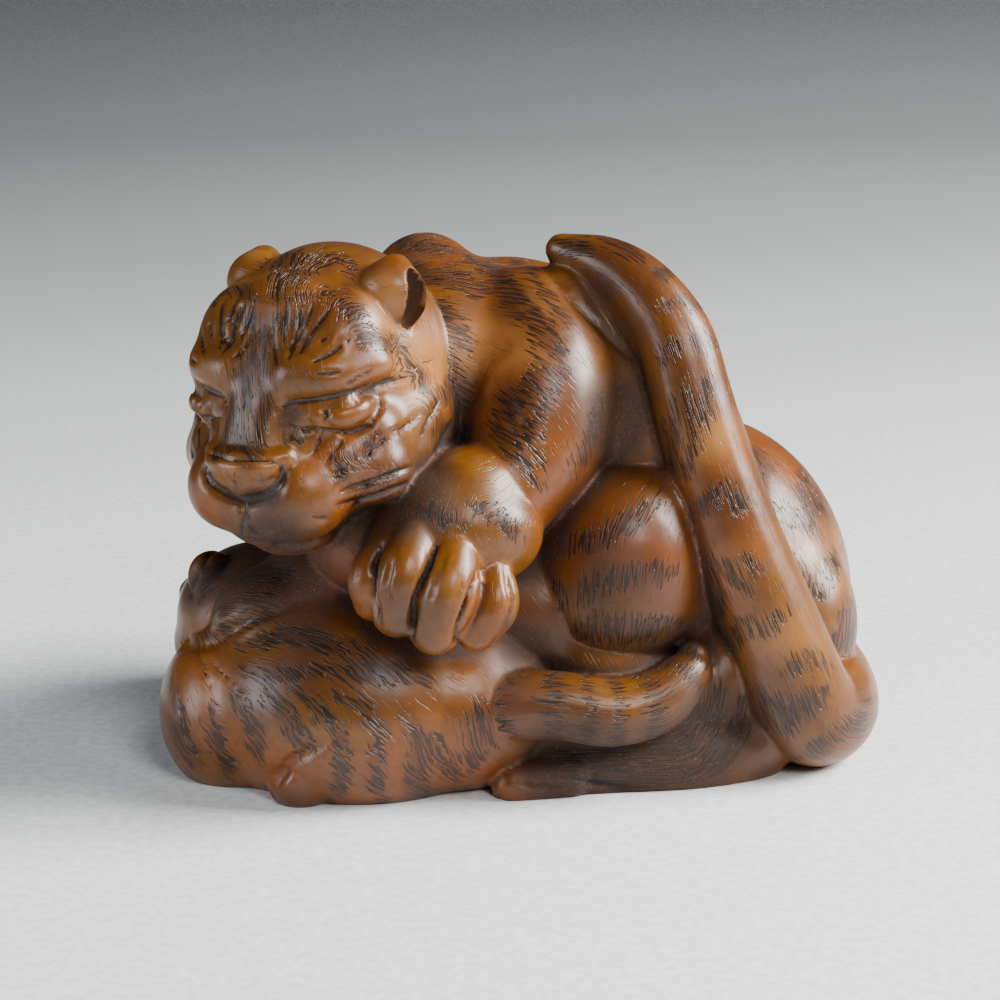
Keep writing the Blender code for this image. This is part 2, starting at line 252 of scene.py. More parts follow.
def tigress_body():
    """Her trunk: chest, back, shoulders and haunch."""
    trunk = fuse("trunk", [
        ball((-0.5, 3.8, 14.2), (9.0, 8.2, 11.9)),
        ball((9.6, 3.2, 6.8), (9.2, 8.8, 10.6)),
        ball((-4.0, 1.5, 20.2), (6.0, 6.6, 6.6)),
        ball((3.8, 3.8, 15.2), (7.4, 6.6, 10.6)),
        ball((-7.4, -1.4, 13.0), (4.6, 4.6, 4.6)),
        ball((-5.0, 4.0, 6.0), (7.0, 6.6, 7.0)),
        ball((0.5, 5.0, 6.0), (8.0, 6.4, 8.0)),
        ball((1.4, -2.0, 2.0), (7.4, 6.2, 4.2)),
        ball((0.8, -3.6, 8.2), (4.6, 4.6, 4.8)),
        ball((-3.8, -4.6, 10.6), (4.4, 4.0, 3.4)),
        ball((4.6, -5.8, 6.0), (4.0, 2.8, 2.8)),
        ball((-7.4, -5.4, 13.2), (3.8, 3.8, 3.8)),
        ball((-6.4, 6.6, 3.6), (4.8, 3.8, 3.8)),
        limb([(0.6, 0, 22.3, 4.0), (1.2, -2.6, 20.2, 4.2), (0.6, -4.4, 17.4, 3.9), (-0.8, -6.2, 15.4, 3.0)]),
        limb([(4.6, 1.6, 24.2, 2.4), (7.4, 0.4, 21.2, 2.8), (9.4, -1.2, 17, 3.0), (10.6, -2.0, 12.6, 3.0)]),
        ball((-5.0, 4.6, 23.6), (3.4, 3.4, 3.8)),
        limb([(2.6, 0, 24.4, 2.0), (5.0, -1.4, 20.6, 2.4), (6.6, -2.4, 16.4, 2.6), (7.4, -2.8, 12.6, 2.8)]),
        ball((15.2, -0.6, 6.6), (3.5, 4.2, 5.0)),
    ], softness=1.0)
    return [trunk]


def far_foreleg():
    """Her foreleg on the side away from the picture."""
    leg = fuse("far_foreleg", [
        limb([(-5.0, 5.4, 21, 3.8), (-7.2, 8.2, 16.4, 3.9), (-8.4, 9.6, 11, 3.5), (-10.4, 9.4, 6.4, 3.0)]),
        ball((-12.6, 8.4, 3.6), (4.0, 3.2, 3.0), (0, -20, -30)),
    ], softness=0.6)
    toes = [
        limb([(-13.4 - 1.1 * i, 9.8 - 2.0 * i, 4.2, 1.2), (-15.4 - 0.7 * i, 9.8 - 2.1 * i, 2.9, 1.4),
              (-15.9 - 0.6 * i, 9.5 - 2.0 * i, 1.2, 1.2)])
        for i in range(3)
    ]
    return [leg, *toes]


def far_hind_leg():
    """Her thigh and foot on that side."""
    thigh = fuse("far_thigh", [
        ball((6.4, 8.0, 8.2), (6.4, 4.4, 7.2), (0, 12, 0)),
        ball((9.0, 7.6, 6.6), (5.6, 4.6, 6.6)),
    ], softness=0.6)
    foot = fuse("far_foot", [
        limb([(8.6, 9.6, 3.4, 2.4), (4.0, 10.9, 1.8, 2.1), (-0.6, 10.9, 1.3, 1.9), (-3.2, 10.4, 1.2, 1.8)]),
    ], softness=0.4)
    toes = [
        limb([(-3.4, 10.6 - 1.5 * i, 2.3, 0.9), (-5.4, 10.9 - 1.7 * i, 1.4, 1.1),
              (-5.8, 10.8 - 1.7 * i, 0.5, 0.9)])
        for i in range(3)
    ]
    return [thigh, foot, *toes]


def near_forepaw():
    """The paw that lies on the cub's back, with four toes."""
    paw = fuse("forepaw", [
        ball((-3.0, -7.9, 14.2), (4.4, 3.6, 3.2), (0, 10, 0)),
        ball((-4.2, -8.9, 12.6), (4.0, 3.0, 3.4)),
        limb([(-0.6, -5.6, 15.6, 3.0), (-2.6, -7.2, 14.8, 3.4)]),
    ], softness=0.4)
    toes = [
        limb([(-7.0, -9.6, 13.4, 0.9), (-7.5, -10.8, 12.2, 1.15), (-7.4, -10.6, 10.9, 1.0)]),
        limb([(-5.1, -10.4, 14.2, 1.2), (-5.7, -11.8, 12.6, 1.5), (-6.1, -11.6, 10.7, 1.35)]),
        limb([(-3.1, -10.6, 13.8, 1.2), (-3.5, -12.1, 12.0, 1.55), (-4.2, -12.0, 9.9, 1.35)]),
        limb([(-1.4, -10.0, 12.7, 1.0), (-1.2, -11.2, 11.0, 1.3), (-2.1, -11.2, 9.6, 1.15)]),
    ]
    return [paw, limb([(-6.2, -10.2, 12.2, 1.1), (-4.2, -11.2, 11.6, 1.3), (-2.0, -10.9, 11.0, 1.1)]), *toes]


def near_thigh():
    """Her near thigh."""
    return [fuse("thigh", [
        ball((5.4, -4.0, 10.7), (5.0, 5.0, 6.0), (0, 6, 0)),
        ball((7.4, -2.6, 10.2), (4.6, 4.4, 6.4)),
        ball((6.6, -3.6, 13.2), (4.2, 3.8, 3.6)),
    ], softness=0.5)]


def near_hind_foot():
    """Her near hind foot, folded under the thigh."""
    foot = fuse("hind_foot", [
        limb([(10.8, -3.8, 7.0, 2.6), (12.4, -4.2, 3.2, 2.8), (12.4, -5.2, 1.6, 2.5), (9.2, -6.8, 1.3, 2.3),
              (5.0, -7.4, 0.9, 2.1), (2.0, -8.0, 0.7, 1.9)]),
        limb([(11.6, -4.4, 6.6, 2.4), (9.6, -5.6, 4.2, 2.5), (5.0, -6.6, 2.9, 2.2), (-0.6, -7.0, 2.4, 2.0)]),
    ], softness=0.4)
    toes = [limb([(2.8, -8.7 - 0.5 * i, 0.9, 1.1), (0.6 - 0.8 * i, -8.2 - 1.2 * i, 0.6, 1.2)])
            for i in range(2)]
    return [foot, *toes]


# The tails, from root to tip: places and radius
TAIL_ROUTE = [(9.0, 10.4, 4.6, 2.2), (13.8, 8.0, 3.4, 2.4), (16.8, 3.0, 2.9, 2.6), (16.9, -2.8, 2.8, 2.8),
              (15.4, -5.6, 3.4, 2.9), (13.5, -5.9, 7.8, 2.7), (11.6, -5.5, 12.4, 2.5),
              (10.1, -4.8, 16.6, 2.3),
              (9.1, -4.0, 20.0, 2.2), (8.2, -2.9, 23.0, 2.1), (6.5, -1.4, 25.2, 1.9),
              (4.6, -0.2, 26.4, 1.55), (2.4, 0.8, 27.0, 0.95)]
TAIL_WEB = [(7.4, -2.2, 21.6, 1.4), (6.2, -1.4, 23.4, 1.5), (4.4, -0.2, 25, 1.3), (2.6, 0.6, 26.2, 0.8)]
CUB_TAIL_ROUTE = [(-3.6, -8.4, 4.4, 1.9), (-0.6, -9.4, 4.9, 1.9), (2.0, -9.6, 5.0, 1.8),
                  (4.8, -9.6, 4.6, 1.8), (7.2, -9.0, 5.0, 1.7), (8.8, -8.0, 6.2, 1.3),
                  (9.2, -7.4, 6.9, 0.9)]


# The cub's head. Its own axes are forward, to its left and up.
CUB_HEAD_AT = (-13.9, -1.4, 7.4)
CUB_HEAD_YAW = 118
CUB_HEAD_PITCH = 14


def cub_head_frame():
    """Where the cub's head sits and how it is turned."""
    forward = Matrix.Rotation(math.radians(CUB_HEAD_YAW), 4, "Z")
    down = Matrix.Rotation(math.radians(CUB_HEAD_PITCH), 4, "Y")
    return Matrix.Translation(CUB_HEAD_AT) @ forward @ down


def cub_body():
    """The cub's body, curled, with one forepaw."""
    body = fuse("cub_body", [
        ball((-8.4, -5.0, 4.2), (8.6, 7.9, 6.5)),
        ball((-15.0, -4.8, 3.2), (4.2, 5.0, 4.8)),
        ball((-3.5, -4.8, 4.2), (6.3, 6.9, 5.4)),
        ball((-9.6, -3.6, 9.4), (4.4, 4.2, 3.2)),
        ball((-12.6, -5.0, 8.2), (3.6, 3.6, 3.0)),
    ], softness=0.8)
    return [body, ball((-11.2, -10.0, 1.4), (1.9, 1.9, 2.0), (0, 20, 0))]


def cub_head():
    """Its sleeping head, turned away from the picture."""
    at = cub_head_frame()
    soft = [
        ball((0, 0, 0), (4.6, 4.6, 4.0), frame=at),
        ball((3.6, 0, -1.0), (2.9, 2.5, 2.1), frame=at),
        limb([(2.4, 0, 2.2, 1.5), (4.4, 0, 1.0, 1.2), (6.0, 0, 0.0, 1.0)], frame=at),
        ball((4.4, 0, -2.4), (1.6, 1.7, 1.1), frame=at),
    ]
    for side in (-1, 1):
        soft += [
            ball((5.0, side * 1.2, -1.0), (1.5, 1.5, 1.4), frame=at),
            limb([(3.4, side * 1.3, 1.8, 1.0), (2.4, side * 2.9, 1.6, 0.8)], frame=at),
            ball((1.4, side * 2.7, -1.2), (2.4, 1.8, 2.2), frame=at),
        ]
    crisp = [fuse("cub_head", soft, softness=0.45), ball((6.3, 0, -0.4), (0.7, 1.1, 0.7), frame=at)]
    for side in (-1, 1):
        crisp += [
            ball((2.9, side * 2.1, 0.5), (0.9, 1.1, 0.55), (0, 0, side * 40), frame=at),
            ball((-0.9, side * 2.8, 2.3), (1.1, 1.4, 1.6), (side * -30, -10, 0), frame=at),
        ]
    return crisp


def finished(body):
    """The mesh of an object with its modifiers worked through; the object itself goes."""
    bpy.context.view_layer.update()
    mesh = bpy.data.meshes.new_from_object(body.evaluated_get(bpy.context.evaluated_depsgraph_get()))
    bpy.data.objects.remove(body)
    return mesh


regions = {
    "head": tigress_head(),
    "trunk": tigress_body(),
    "forepaw": near_forepaw(),
    "far_foreleg": far_foreleg(),
    "thigh": near_thigh(),
    "hind_foot": near_hind_foot(),
    "far_hind": far_hind_leg(),
    "tail": [fuse("tail", [limb(TAIL_ROUTE), limb(TAIL_WEB)], softness=0.3)],
    "cub_body": cub_body(),
    "cub_head": cub_head(),
    "cub_tail": [limb(CUB_TAIL_ROUTE)],
}
names = list(regions)

# Which form each spot of the finished skin belongs to
marks = [(v.co.copy(), names.index(name)) for name, lumps in regions.items() for mesh in lumps
         for v in mesh.vertices]
form_of = KDTree(len(marks))
for number, (co, _) in enumerate(marks):
    form_of.insert(co, number)
form_of.balance()

skin = fuse("skin", [mesh for lumps in regions.values() for mesh in lumps], grain=SKIN_GRAIN, softness=0.14)


def cut(body, mesh):
    """Takes the mesh out of the body."""
    tool = bpy.data.objects.new("cutter", mesh)
    bpy.context.scene.collection.objects.link(tool)
    gouge = body.modifiers.new("Cut", "BOOLEAN")
    gouge.operation = "DIFFERENCE"
    gouge.solver = "EXACT"
    gouge.object = tool
    return tool


block = bpy.data.objects.new("block", skin)
bpy.context.scene.collection.objects.link(block)
tools = [cut(block, hollow) for hollow in ear_hollows()]
skin = finished(block)
for tool in tools:
    bpy.data.objects.remove(tool)

block = bpy.data.objects.new("block", skin)
bpy.context.scene.collection.objects.link(block)
count = sum(len(face.vertices) - 2 for face in skin.polygons)
if count > MOST_TRIANGLES:
    thin = block.modifiers.new("Thin", "DECIMATE")
    thin.ratio = MOST_TRIANGLES / count
skin = finished(block)

# The carving is set over the middle of the solid
places = np.empty(len(skin.vertices) * 3)
skin.vertices.foreach_get("co", places)
places = places.reshape(-1, 3)
middle = Vector(((cad_low[0] + cad_high[0]) / 2 - (places[:, 0].min() + places[:, 0].max()) / 2,
                 (cad_low[1] + cad_high[1]) / 2 - (places[:, 1].min() + places[:, 1].max()) / 2, 0))
owner = np.array([marks[form_of.find(co)[1]][1] for co in map(Vector, places)])
places = (places + np.array(middle)) * 1000
normals = np.empty(len(skin.vertices) * 3)
skin.vertices.foreach_get("normal", normals)
normals = normals.reshape(-1, 3)

# The front of the carving, as it is looked at: places on it are named in thousandths of the picture's
# width, from its left and top edges.
LENS = 100
HALF_SENSOR = 18
HALF_PICTURE = 500
TILT = math.radians(15)
SHARP_SCALE = 18.0  # picture thousandths to a millimetre, at the target
TARGET = np.array((-1.24, 3.75, 12.49))
REACH = HALF_PICTURE / SHARP_SCALE / (HALF_SENSOR / LENS)
RIGHT = np.array((1.0, 0, 0))
UP = np.array((0, math.sin(TILT), math.cos(TILT)))
BACK = np.array((0, -math.cos(TILT), math.sin(TILT)))


def pictured(points):
    """Where points of the carving lie on the picture."""
    off = points - TARGET
    size = SHARP_SCALE * REACH / (REACH - off @ BACK)
    return np.column_stack((HALF_PICTURE + off @ RIGHT * size, HALF_PICTURE - off @ UP * size))


# The head's features are drawn on its near half and mirrored to the far half
head_at = np.array((Matrix.Translation(middle * 1000) @ head_frame()))
head_back = np.linalg.inv(head_at)
in_head = owner == names.index("head")
local = np.column_stack((places, np.ones(len(places)))) @ head_back.T
local[:, 1] = np.abs(local[:, 1])
folded = (local @ head_at.T)[:, :3]
seen_from = np.where(in_head[:, None], folded, places)
spot = pictured(seen_from)


def along(spots, line):
    """Distance of each spot from a line, and how far along the line its nearest point is, from 0 to 1."""
    line = np.array(line, dtype=float)
    steps = np.linalg.norm(np.diff(line, axis=0), axis=1)
    total = steps.sum()
    best = np.full(len(spots), 1e9)
    share = np.zeros(len(spots))
    done = 0.0
    for a, b, step in zip(line[:-1], line[1:], steps):
        t = np.clip(((spots - a) @ (b - a)) / step ** 2, 0, 1)
        gap = np.linalg.norm(spots - a - t[:, None] * (b - a), axis=1)
        closer = gap < best
        best[closer] = gap[closer]
        share[closer] = (done + t[closer] * step) / total
        done += step
    return best, share


def smooth(low, high, value):
    """A soft step from 0 at low to 1 at high."""
    t = np.clip((value - low) / (high - low), 0, 1)
    return t * t * (3 - 2 * t)


NEARER = 1.07  # the front of the figure is nearer than the target, so it looks larger
PX = SHARP_SCALE * NEARER  # picture thousandths to a millimetre on the front of the figure
facing = normals @ BACK
mirror = head_at[:3, :3] @ np.diag((1, -1, 1)) @ head_back[:3, :3]
mirrored = normals @ mirror.T
far_half = in_head & ((np.column_stack((places, np.ones(len(places)))) @ head_back.T)[:, 1] < 0)
facing[far_half] = (mirrored @ BACK)[far_half]
front = smooth(-0.1, 0.2, facing)
front[far_half] *= smooth(0.0, 0.35, normals @ BACK)[far_half]

# Forms that are modelled up: outline on the front, height and width of the rounding in millimetres
RAISED = [
    ("head", [(327, 421), (328, 410), (340, 403), (358, 398), (372, 397), (377, 403), (369, 417), (350, 427),
              (337, 428)], 0.36, 0.6),
    ("head", [(304, 415), (313, 409), (325, 409), (325, 421), (313, 423)], 0.22, 0.4),
    ("head", [(225, 462), (243, 461), (276, 460), (286, 466), (279, 481), (267, 495), (243, 499),
              (225, 496)],
     0.10, 0.6),
]


def within(spots, outline):
    """True for the spots inside the outline."""
    x, y = spots[:, 0], spots[:, 1]
    inside = np.zeros(len(spots), dtype=bool)
    for (ax, ay), (bx, by) in zip(outline, outline[1:] + outline[:1]):
        crosses = (ay > y) != (by > y)
        inside ^= crosses & (x < ax + (y - ay) / ((by - ay) or 1e-9) * (bx - ax))
    return inside


lift = np.zeros(len(places))
for form, outline, high, rounding in RAISED:
    gap, share = along(spot, outline + outline[:1])
    t = np.clip(gap / (rounding * PX), 0, 1)
    swell = high * np.sqrt(1 - (1 - t) ** 2) * within(spot, outline) * (owner == names.index(form)) * front
    lift = np.maximum(lift, swell)

# Engraved lines: form, line, half-width and depth in millimetres
ENGRAVED = [
    ("head", [(302, 303), (297, 332), (288, 360)], 0.09, 0.20),
    ("head", [(329, 309), (315, 327), (297, 356)], 0.09, 0.20),
    ("head", [(330, 333), (317, 345)], 0.07, 0.14),
    ("head", [(351, 338), (333, 352), (311, 363)], 0.09, 0.18),
    ("head", [(340, 372), (315, 374)], 0.07, 0.12),
    ("head", [(371, 370), (358, 378), (344, 387)], 0.07, 0.12),
    ("head", [(272, 327), (273, 345), (276, 365)], 0.07, 0.12),
    ("head", [(287, 300), (284, 330), (281, 350)], 0.06, 0.10),
    ("head", [(314, 300), (307, 322), (300, 338)], 0.06, 0.10),
    # the eye: upper lid, lower lid, the corner's crease, the edge between the facets of the ball
    ("head", [(277, 411), (290, 403), (314, 402), (348, 395), (382, 385), (410, 374)], 0.13, 0.32),
    ("head", [(286, 423), (300, 427), (324, 431), (350, 433), (370, 424), (380, 407),
              (380, 394)], 0.06, 0.22),
    ("head", [(410, 372), (436, 358)], 0.07, 0.14),
    ("head", [(326, 408), (326, 422)], 0.04, 0.16),
    # whiskers and the ruff of the cheek
    ("head", [(322, 434), (318, 444), (313, 454)], 0.07, 0.14),
    ("head", [(345, 438), (335, 450), (326, 463)], 0.07, 0.14),
    ("head", [(400, 428), (382, 441), (358, 461)], 0.08, 0.18),
    ("head", [(422, 414), (400, 430), (380, 443)], 0.07, 0.14),
    ("head", [(342, 466), (333, 479)], 0.08, 0.14),
    ("head", [(413, 466), (387, 477), (362, 486), (340, 493)], 0.09, 0.28),
    ("head", [(416, 481), (393, 490), (369, 499), (338, 505)], 0.08, 0.24),
    ("head", [(364, 497), (355, 508), (349, 532)], 0.08, 0.20),
    ("head", [(329, 519), (311, 518)], 0.06, 0.12),
    ("head", [(440, 400), (428, 420), (420, 440)], 0.07, 0.12),
    ("head", [(452, 420), (440, 445), (430, 462)], 0.08, 0.14),
    # nose and mouth
    ("head", [(281, 465), (283, 476), (275, 488), (261, 497), (244, 501), (226, 500)], 0.20, 0.28),
    ("head", [(226, 461), (250, 460), (268, 461), (280, 465)], 0.05, 0.14),
    ("head", [(235, 472), (237, 496)], 0.03, 0.08),
    ("head", [(243, 505), (245, 517), (250, 528), (256, 538)], 0.08, 0.28),
    ("head", [(230, 536), (246, 541), (275, 546), (306, 545), (335, 533), (349, 526)], 0.07, 0.30),
    # gaps between the toes
    ("forepaw", [(383, 545), (374, 565), (373, 592), (380, 625)], 0.07, 0.32),
    ("forepaw", [(436, 546), (428, 568), (415, 600), (411, 640)], 0.08, 0.40),
    ("forepaw", [(480, 570), (472, 592), (460, 622), (454, 655)], 0.08, 0.45),
    # wrinkles of the cub
    ("cub_body", [(197, 650), (203, 668), (212, 690)], 0.05, 0.10),
    ("cub_body", [(208, 660), (226, 676), (246, 698)], 0.05, 0.10),
    ("cub_head", [(203, 566), (209, 553), (222, 547)], 0.06, 0.18),
    ("cub_head", [(190, 600), (193, 585), (200, 573)], 0.05, 0.12),
    ("cub_head", [(198, 604), (203, 592), (212, 583)], 0.05, 0.12),
    ("cub_body", [(178, 700), (185, 735), (205, 765)], 0.06, 0.14),
    ("hind_foot", [(560, 776), (600, 784), (640, 790)], 0.07, 0.20),
]
# Folds and gaps: the same, but too deep to have been drawn with the point
FOLDS = [
    ("forepaw", [(505, 566), (512, 600), (500, 640)], 0.11, 0.22),
    ("forepaw", [(392, 560), (386, 585), (388, 612)], 0.10, 0.22),
    ("forepaw", [(447, 552), (437, 580), (428, 610)], 0.08, 0.10),
    ("cub_body", [(168, 643), (195, 646), (215, 640), (250, 618), (300, 600)], 0.22, 0.40),
    ("cub_body", [(330, 735), (310, 752), (290, 764), (276, 778), (272, 797)], 0.24, 0.45),
    ("hind_foot", [(520, 783), (560, 789)], 0.14, 0.30),
    ("head", [(283, 402), (310, 398), (345, 394), (381, 385), (400, 378)], 0.2, 0.12),
    ("tail", [(541, 259), (574, 298), (603, 327), (636, 359)], 0.12, 0.25),
    ("trunk", [(466, 408), (472, 384), (482, 364), (496, 350), (512, 342)], 0.30, 0.30),
    ("trunk", [(498, 392), (508, 412), (522, 430)], 0.26, 0.22),
    ("trunk", [(541, 262), (574, 301), (603, 330), (636, 362)], 0.12, 0.25),
]
NOT_NEAR = 2.0  # millimetres that stand for a line or stripe that is nowhere near
OTHER_FORM = 9
FADE = 3  # how soon lines end where the surface turns away from the front
NARROWEST = 0.13
depth = np.zeros(len(places))
engraved = np.full(len(places), NOT_NEAR)
for number, (form, line, half_width, deep) in enumerate(ENGRAVED + FOLDS):
    gap, share = along(spot, line)
    gap = gap / PX + FADE * (1 - front)
    gap[owner != names.index(form)] = OTHER_FORM
    taper = np.clip(np.minimum(share, 1 - share) * 5, 0.0, 1)
    reach = max(half_width * 1.5, NARROWEST)
    depth = np.maximum(depth, deep * np.exp(-(gap / reach) ** 2) * (0.3 + 0.7 * taper))
    if number < len(ENGRAVED):
        engraved = np.minimum(engraved, gap - half_width * (0.4 + 0.6 * taper))
places = places + normals * (lift - depth)[:, None]

# Stripes of each form: line, half-width in millimetres
STRIPES = {
    "head": [
        ([(275, 278), (293, 269), (315, 262), (345, 258)], 0.45),
        ([(262, 300), (285, 283), (310, 274)], 0.35),
        ([(284, 298), (306, 297), (324, 294), (340, 297)], 0.28),
        ([(329, 291), (342, 298), (346, 308), (357, 318), (371, 340), (400, 347), (407, 352)], 0.4),
        ([(351, 262), (352, 274)], 0.35),
        ([(270, 327), (288, 321), (306, 318)], 0.35),
        ([(402, 345), (409, 367), (422, 376), (425, 396)], 0.35),
        ([(427, 412), (438, 399), (462, 376), (485, 363)], 0.45),
        ([(440, 420), (450, 450), (455, 470)], 0.7),
        ([(284, 434), (296, 437), (306, 434)], 0.32),
        ([(352, 450), (345, 462), (336, 472)], 0.35),
        ([(374, 438), (364, 454), (357, 468)], 0.3),
        ([(398, 468), (380, 482), (360, 494)], 0.2),
        ([(402, 500), (382, 514), (360, 530)], 0.4),
        ([(248, 457), (249, 448), (252, 430)], 0.9),
        ([(254, 457), (252, 420), (254, 380), (250, 340), (258, 310)], 0.85),
        ([(338, 478), (345, 470)], 0.4),
    ],
    "trunk": [
        ([(391, 262), (429, 274), (467, 285), (498, 291)], 0.5),
        ([(393, 240), (429, 247), (450, 252)], 0.45),
        ([(467, 258), (491, 272), (508, 290), (523, 309), (543, 331), (556, 350), (565, 372)], 0.62),
        ([(560, 376), (550, 392), (540, 412), (532, 426), (530, 440), (543, 465)], 0.45),
        ([(535, 350), (545, 372), (530, 388), (508, 404), (502, 426), (513, 448), (528, 469),
          (536, 485)], 0.6),
        ([(517, 261), (530, 270), (541, 289), (556, 307), (567, 324)], 0.3),
        ([(430, 300), (450, 320), (470, 350)], 0.5),
        ([(432, 318), (446, 350), (457, 385), (462, 410)], 0.45),
        ([(456, 425), (468, 452), (480, 482)], 0.45),
        ([(602, 398), (592, 440), (572, 472)], 0.3),
        ([(440, 262), (458, 272), (476, 280)], 0.3),
        ([(750, 448), (759, 470), (772, 468)], 0.5),
        ([(759, 504), (780, 513), (806, 522), (811, 504), (798, 487)], 0.5),
        ([(800, 474), (815, 502), (828, 515)], 0.3),
        ([(775, 556), (801, 567)], 0.45),
        ([(836, 552), (825, 580), (807, 596)], 0.5),
        ([(855, 605), (850, 640), (832, 640)], 0.8),
    ],
    "thigh": [
        ([(552, 556), (571, 545), (595, 542), (619, 527), (641, 513), (656, 500)], 0.55),
        ([(580, 602), (598, 582), (625, 578), (651, 573), (676, 572)], 0.5),
        ([(560, 640), (600, 628), (640, 633), (680, 622)], 0.65),
        ([(545, 575), (556, 590), (560, 612)], 0.35),
    ],
    "tail": [
        ([(601, 236), (640, 257)], 0.4),
        ([(560, 240), (588, 252)], 0.5),
        ([(653, 272), (672, 274)], 0.35),
        ([(655, 309), (670, 305), (685, 302), (707, 307), (722, 315)], 0.3),
        ([(663, 367), (667, 350), (679, 341)], 0.35),
        ([(692, 335), (702, 344), (726, 337)], 0.3),
        ([(676, 400), (672, 430), (674, 460), (684, 478)], 0.35),
        ([(686, 386), (692, 410), (694, 440), (690, 465)], 0.35),
        ([(704, 376), (708, 405), (706, 430)], 0.3),
        ([(690, 516), (707, 504), (718, 496), (728, 487), (737, 506), (752, 500)], 0.4),
        ([(704, 552), (709, 580), (720, 612)], 0.6),
        ([(724, 560), (737, 580), (748, 590)], 0.35),
        ([(742, 560), (762, 572)], 0.4),
        ([(724, 654), (737, 633), (753, 620)], 0.5),
        ([(761, 634), (785, 613)], 0.4),
        ([(757, 690), (772, 712), (788, 722), (804, 707), (826, 688)], 0.62),
        ([(786, 673), (806, 660), (828, 666)], 0.45),
        ([(802, 757), (823, 744), (838, 731), (857, 728), (868, 704)], 0.4),
    ],
    "cub_body": [
        ([(212, 706), (216, 735), (218, 752), (236, 777)], 0.42),
        ([(234, 696), (250, 720), (257, 745), (262, 764)], 0.4),
        ([(262, 680), (281, 707), (296, 730), (306, 750), (296, 760)], 0.42),
        ([(292, 686), (317, 707), (333, 725), (343, 751), (341, 782), (330, 803)], 0.42),
        ([(340, 692), (367, 715), (380, 735), (377, 761), (375, 784), (384, 800)], 0.42),
        ([(404, 720), (417, 738), (420, 758), (417, 782), (427, 797)], 0.5),
        ([(430, 733), (443, 760), (455, 778)], 0.45),
        ([(241, 668), (268, 679), (307, 674), (333, 668), (360, 676), (400, 680), (430, 680)], 0.3),
        ([(240, 645), (262, 640), (281, 635), (317, 639), (350, 650), (380, 655)], 0.45),
        ([(330, 655), (372, 668), (420, 668)], 0.3),
        ([(212, 612), (236, 606), (255, 602), (285, 596)], 0.4),
        ([(236, 580), (262, 573), (290, 575)], 0.35),
        ([(195, 640), (230, 625), (270, 615)], 0.3),
        ([(174, 690), (180, 730), (192, 765)], 0.35),
        ([(478, 700), (480, 740), (470, 770)], 0.6),
    ],
    "cub_head": [
        ([(196, 590), (210, 575), (225, 565)], 0.5),
    ],
    "hind_foot": [
        ([(720, 690), (700, 730), (640, 755), (540, 762)], 0.9),
        ([(742, 700), (738, 735), (715, 762), (650, 778), (575, 784)], 0.6),
    ],
    "forepaw": [
        ([(400, 500), (430, 510), (460, 525)], 0.4),
        ([(470, 505), (500, 515), (520, 540)], 0.4),
    ],
}
band = np.full(len(places), NOT_NEAR)
for form, line, half_width in ((form, *stripe) for form, rows in STRIPES.items() for stripe in rows):
    gap, share = along(spot, line)
    taper = np.clip(np.minimum(share, 1 - share) * 6, 0.3, 1)
    gap = gap / PX - half_width * taper
    gap[owner != names.index(form)] = NOT_NEAR
    band = np.minimum(band, gap + FADE * (1 - front))

# On the sides away from the picture the stripes are simply one below the other: the way from one to
# the next, their spacing and half-width
AROUND = {"trunk": ((0.55, 0.1, 0.8), 3.6, 0.55), "far_foreleg": ((0.1, 0.0, 1.0), 3.0, 0.45),
          "far_hind": ((0.25, 0.3, 0.9), 3.2, 0.5), "thigh": ((0.1, 0.0, 1.0), 2.8, 0.4),
          "forepaw": ((0.6, 0.0, 0.8), 2.6, 0.35), "cub_body": ((1.0, 0.3, 0.2), 2.6, 0.4),
          "cub_head": ((0.7, 0.6, 0.4), 2.2, 0.3), "head": ((0.5, 0.5, 0.7), 2.8, 0.4)}
away = np.full(len(places), NOT_NEAR)
sway = 0.9 * np.sin(places @ (0.9, 0.5, 0.3)) + 0.5 * np.sin(places @ (-0.6, 1.7, 0.9) + 1.3)
for form, (way, spacing, half_width) in AROUND.items():
    mine = owner == names.index(form)
    u = (places[mine] @ np.array(way) + sway[mine]) / spacing
    broken = 0.5 * np.sin(places[mine] @ (1.3, -0.9, 0.2))
    away[mine] = np.abs(u - np.round(u)) * spacing - half_width + broken

